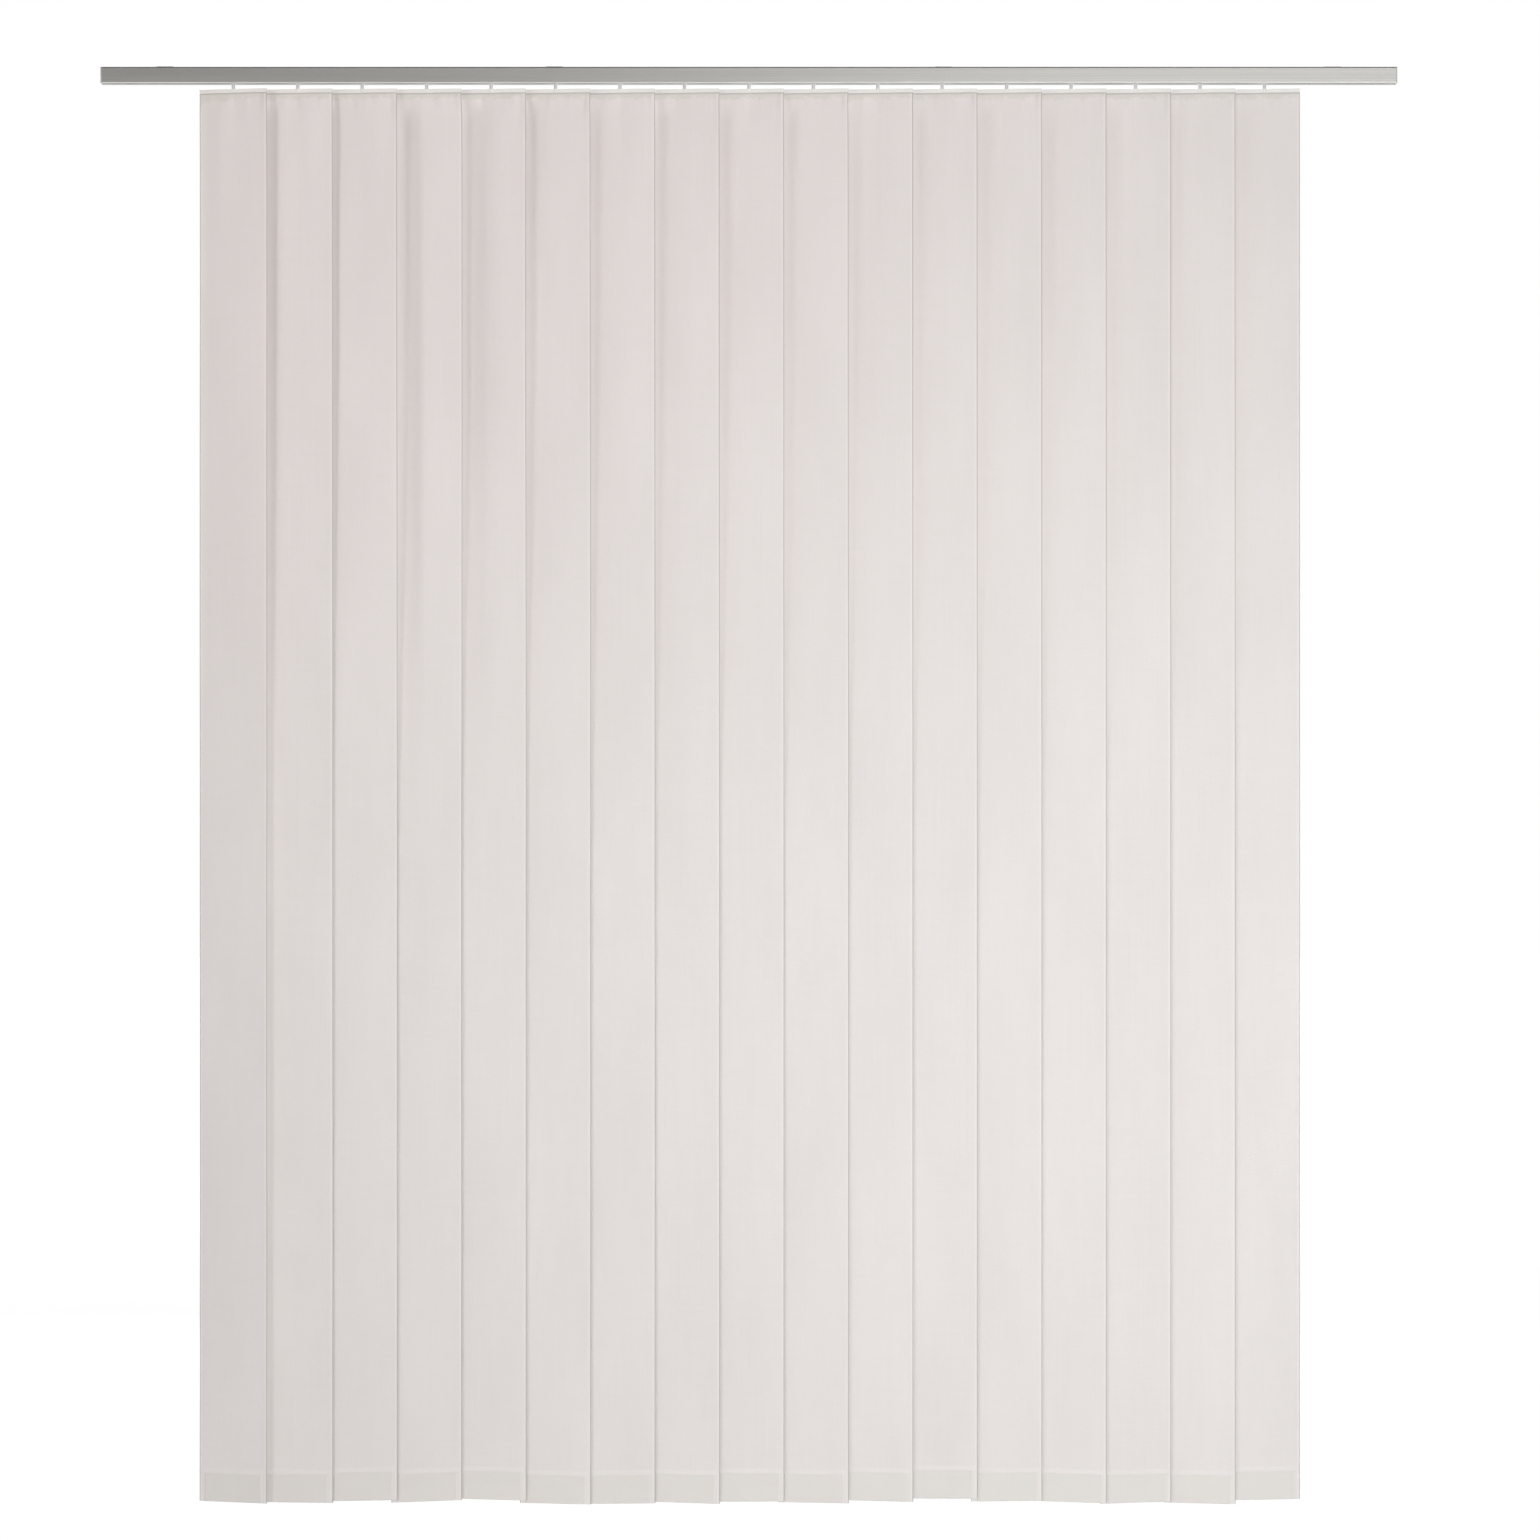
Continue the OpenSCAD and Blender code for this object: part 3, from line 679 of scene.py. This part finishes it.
def vane_cloth(look):
    """Matt plain weave with slubs and a ribbed weld; painted shade darkens the pocket and the top fold, a
    painted highlight lightens the side edges, and painted shadow lines darken the very edges and the cloth
    right under the strip.
    """
    cloth = Finish("vane_cloth")
    seed, axes = cloth.mark("seed"), cloth.axes()
    weave = cloth.math("MULTIPLY", cloth.wave(axes["X"], look.thread), cloth.wave(axes["Z"], look.thread))
    slub = cloth.noise(scale=(420, 1, 5), detail=2, seed=seed)
    pick = cloth.noise(scale=(9, 1, 380), detail=2, seed=seed)
    patch = cloth.noise(scale=(9, 1, 2.4), detail=2, seed=seed)
    threads = cloth.total((slub, 0.6), (pick, 0.4))
    tone = cloth.total((patch, 0.6), (threads, 0.4))
    weld = cloth.mark("weld")

    colour = cloth.mix(cloth.span(tone, 0.36, 0.64), look.cloth, look.cloth_deep)
    colour = cloth.mix(cloth.span(weave, -1, 1, 0.0, 0.16), colour, look.cloth_deep)
    # Painted shade on the pocket and on the top fold, standing in for the light that the weight and the
    # doubled cloth hold back.
    for name, strength in (("pocket", 0.5), ("fold", 0.9)):
        painted_shade_share = cloth.math("MULTIPLY", cloth.mark(name), strength)
        colour = cloth.mix(painted_shade_share, colour, look.painted_backed_shade)
    # Painted highlight along the side edges, as if they caught the light; the weld is lightened with the
    # same colour.
    weld_and_highlight = cloth.math("MAXIMUM", cloth.mark("rim"), cloth.math("MULTIPLY", weld, 0.6))
    colour = cloth.mix(cloth.math("MULTIPLY", weld_and_highlight, 0.7), colour, look.weld_and_highlight_tint)
    # Painted shadow lines at the very side edges and right under the hanger strip.
    cut, tuck = (cloth.math("MULTIPLY", cloth.mark(n), k) for n, k in (("cut", 0.85), ("tuck", 0.6)))
    colour = cloth.mix(cloth.math("MAXIMUM", cut, tuck), colour, look.painted_shadow_tint)

    ribs = cloth.math("MULTIPLY", cloth.wave(axes["X"], look.weld_rib), weld)
    cloth.bump(cloth.total((weave, 0.5), (threads, 1.2), (ribs, 0.6)), depth=0.00012, strength=0.6)
    cloth.set(
        Base_Color=colour,
        Roughness=cloth.span(threads, *WIDE, 0.78, 0.92),
        Sheen_Weight=0.08,
        Sheen_Roughness=0.5,
        Specular_IOR_Level=0.25,
    )
    return cloth.material


class BLIND_OT_hang_vanes(Operator):
    """Cloth vanes with soft bends, a turned-in top edge and a hem that holds a weight"""

    bl_idname = "blind.hang_vanes"
    bl_label = "Hang the vanes"

    def execute(self, context):
        look = context.scene.blind_vanes
        material = vane_cloth(look)
        for order, name in enumerate(VANES, start=1):
            hanger = name.replace("vane", "hanger")
            low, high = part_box(name)
            centre, along, width = self.strip(hanger)
            turned = math.atan2(along[1], along[0])
            cloth = VaneCloth(order, width, high.z - low.z, -turned, look)
            piece = bpy.data.objects.new(f"cloth_{order:02d}", cloth.mesh(f"cloth_{order:02d}"))
            context.scene.collection.objects.link(piece)
            piece.data.materials.append(material)
            piece.matrix_world = Matrix.Translation((*centre, high.z)) @ Matrix.Rotation(turned, 4, "Z")
            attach(piece, name)
            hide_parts(name)
            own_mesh(piece)
        return {"FINISHED"}

    def strip(self, hanger):
        """A hanger strip's middle, its direction and its length, seen from above."""
        points = np.array([v.co for v in NODES[hanger].data.vertices])[:, :2]
        centre = (points.min(0) + points.max(0)) / 2
        along = np.linalg.svd(points - centre, full_matrices=False)[2][0]
        along = along * np.sign(along[0])
        return centre, along, np.ptp((points - centre) @ along)


def toward(source, target):
    """The turn that points an object's -Z from one point to another."""
    return (Vector(target) - Vector(source)).to_track_quat("-Z", "Y").to_euler()


class Lamp(NamedTuple):
    """A lamp's place, the point it shines at, counted from the camera's aim, its size and its colour."""

    place: tuple
    shines_at: tuple
    size: tuple
    colour: tuple
    mirrored: bool = False


LAMPS = {
    "right": Lamp((1.2, -3.4, -1.95), (0.4, 0, -0.2), (1.0, 1.6), (0.985, 1.0, 1.0), mirrored=True),
    "upper": Lamp((0.1, -3.0, 0.7), (-0.4, 0, 0.9), (0.9, 0.6), (1.0, 0.82, 0.81)),
    "corner": Lamp((-1.9, -1.3, 0.2), (-0.988, 0, 0.965), (0.4, 0.4), (1.0, 0.84, 0.82)),
    "low": Lamp((-3.0, -3.4, -2.4), (-0.1, 0, -0.9), (0.4, 0.3), (1.0, 0.96, 0.95)),
    "back": Lamp((-0.5, 3.6, -0.6), (0, 0, 0), (1.8, 1.8), (1.0, 0.99, 0.98)),
}


class Screen(NamedTuple):
    """A dark screen's place, the point it faces and its size."""

    place: tuple
    faces: tuple
    size: tuple


SCREENS = {
    "left": Screen((-1.9, -3.2, 0.6), (-1.2, 0, 0), (4.0, 1.6)),
    "above": Screen((0, 0.1, 1.2), (0, 0, 0), (5.0, 1.6)),
}


def plate(scene, name, size, material):
    """A flat rectangle round the origin."""
    x, y = size[0] / 2, size[1] / 2
    mesh = bpy.data.meshes.new(name)
    mesh.from_pydata([(-x, -y, 0), (x, -y, 0), (x, y, 0), (-x, y, 0)], [], [(0, 1, 2, 3)])
    mesh.materials.append(material)
    piece = bpy.data.objects.new(name, mesh)
    scene.collection.objects.link(piece)
    return piece


class BLIND_OT_set_stage(Operator):
    """Pale floor, white surroundings, soft lamps and the camera"""

    bl_idname = "blind.set_stage"
    bl_label = "Set the stage"

    # The floor's size and colours, how strongly it glows, and how far from its middle the glow grows
    FLOOR_SIZE = (60, 60)
    FLOOR_MATT = (0.86, 0.86, 0.855)
    FLOOR_FAINT = (0.33, 0.33, 0.33)
    FLOOR_GLOWS = (0.82, 0.95)
    FLOOR_GLOW_GROWS = (2.5, 7)
    SCREEN_DARK = (0.05, 0.05, 0.05)
    SENSOR_WIDTH_MM = 36

    def execute(self, context):
        scene, stage = context.scene, context.scene.blind_stage
        scene.view_settings.view_transform = "Standard"
        self.surroundings(scene, stage)
        self.floor(scene, stage)
        aim = Vector(stage.aim)
        for side, lamp in LAMPS.items():
            self.lamp(scene, f"lamp_{side}", lamp, aim, getattr(stage, f"{side}_lamp"))
        for side, screen in SCREENS.items():
            self.screen(scene, f"screen_{side}", screen)
        self.camera(scene, aim, stage.distance, stage.frame_width)
        return {"FINISHED"}

    def surroundings(self, scene, stage):
        """White to look at, and a weaker, even light on everything."""
        world = bpy.data.worlds.new("studio")
        tree = Tree(world)
        fill = tree.simple("ShaderNodeBackground", Color=WHITE, Strength=stage.fill)
        white = tree.simple("ShaderNodeBackground", Color=WHITE)
        tree.output("ShaderNodeOutputWorld", tree.choose(tree.shown(), fill, white))
        scene.world = world

    def floor(self, scene, stage):
        """A matt floor that glows where it is looked at, so that it runs into the white."""
        material = bpy.data.materials.new("pale_floor")
        tree = Tree(material)
        far = tree.add("ShaderNodeVectorMath", operation="LENGTH")
        tree.link(tree.place(), far.inputs[0])
        strength = tree.span(far.outputs["Value"], *self.FLOOR_GLOW_GROWS, *self.FLOOR_GLOWS)
        glow = tree.simple("ShaderNodeEmission", Color=WHITE, Strength=strength)
        faint = tree.simple("ShaderNodeBsdfDiffuse", Color=self.FLOOR_FAINT)
        matt = tree.simple("ShaderNodeBsdfDiffuse", Color=self.FLOOR_MATT)
        lit = tree.add("ShaderNodeAddShader")
        tree.link(faint, lit.inputs[0])
        tree.link(glow, lit.inputs[1])
        tree.output("ShaderNodeOutputMaterial", tree.choose(tree.shown(), matt, lit.outputs[0]))
        piece = plate(scene, "floor", self.FLOOR_SIZE, material)
        piece.location.z = min(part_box(name)[0].z for name in VANES) - stage.floor_gap

    def screen(self, scene, name, screen):
        """A dark screen out of sight, which only glossy surfaces mirror."""
        dark = Finish(name)
        dark.set(Base_Color=self.SCREEN_DARK, Roughness=0.9)
        piece = plate(scene, name, screen.size, dark.material)
        piece.location = screen.place
        piece.rotation_euler = toward(screen.place, screen.faces)
        for ray in ("camera", "diffuse", "transmission", "shadow", "volume_scatter"):
            setattr(piece, f"visible_{ray}", False)

    def lamp(self, scene, name, lamp, aim, watts):
        """A rectangular lamp, which the gloss mirrors only where that is wanted."""
        light = bpy.data.lights.new(name, "AREA")
        light.shape = "RECTANGLE"
        light.size, light.size_y = lamp.size
        light.energy = watts
        light.color = lamp.colour
        piece = bpy.data.objects.new(name, light)
        piece.visible_glossy = lamp.mirrored
        piece.location = lamp.place
        piece.rotation_euler = toward(lamp.place, aim + Vector(lamp.shines_at))
        scene.collection.objects.link(piece)

    def camera(self, scene, aim, distance, frame_width):
        """The camera, straight in front of the row."""
        camera = bpy.data.objects.new("camera", bpy.data.cameras.new("camera"))
        camera.location = aim - Vector((0, distance, 0))
        camera.rotation_euler = toward(camera.location, aim)
        camera.data.sensor_width = self.SENSOR_WIDTH_MM
        camera.data.lens = camera.data.sensor_width * distance / frame_width
        scene.collection.objects.link(camera)
        scene.camera = camera


class BLIND_PT_make(Panel):
    """Lists the steps that dress the blind, and what a user may change"""

    bl_idname = "BLIND_PT_make"
    bl_label = "Vertical blind"
    bl_space_type = "VIEW_3D"
    bl_region_type = "UI"
    bl_category = "Blind"

    def draw(self, context):
        for step in STEPS:
            self.layout.operator(step.bl_idname)
        for name, kind in SETTINGS.items():
            box = self.layout.box()
            for key in kind.__annotations__:
                box.prop(getattr(context.scene, name), key)


STEPS = (
    BLIND_OT_finish_rail, BLIND_OT_finish_carriers, BLIND_OT_finish_hangers, BLIND_OT_hang_vanes,
    BLIND_OT_set_stage,
)
SETTINGS = {"blind_vanes": VaneSettings, "blind_hardware": HardwareSettings, "blind_stage": StageSettings}


def register():
    for kind in (*SETTINGS.values(), *STEPS, BLIND_PT_make):
        bpy.utils.register_class(kind)
    for name, kind in SETTINGS.items():
        setattr(bpy.types.Scene, name, PointerProperty(type=kind))


def unregister():
    for name in SETTINGS:
        delattr(bpy.types.Scene, name)
    for kind in reversed((*SETTINGS.values(), *STEPS, BLIND_PT_make)):
        bpy.utils.unregister_class(kind)


def main():
    register()
    bpy.ops.blind.finish_rail()
    bpy.ops.blind.finish_carriers()
    bpy.ops.blind.finish_hangers()
    bpy.ops.blind.hang_vanes()
    bpy.ops.blind.set_stage()


if __name__ == "__main__":
    main()
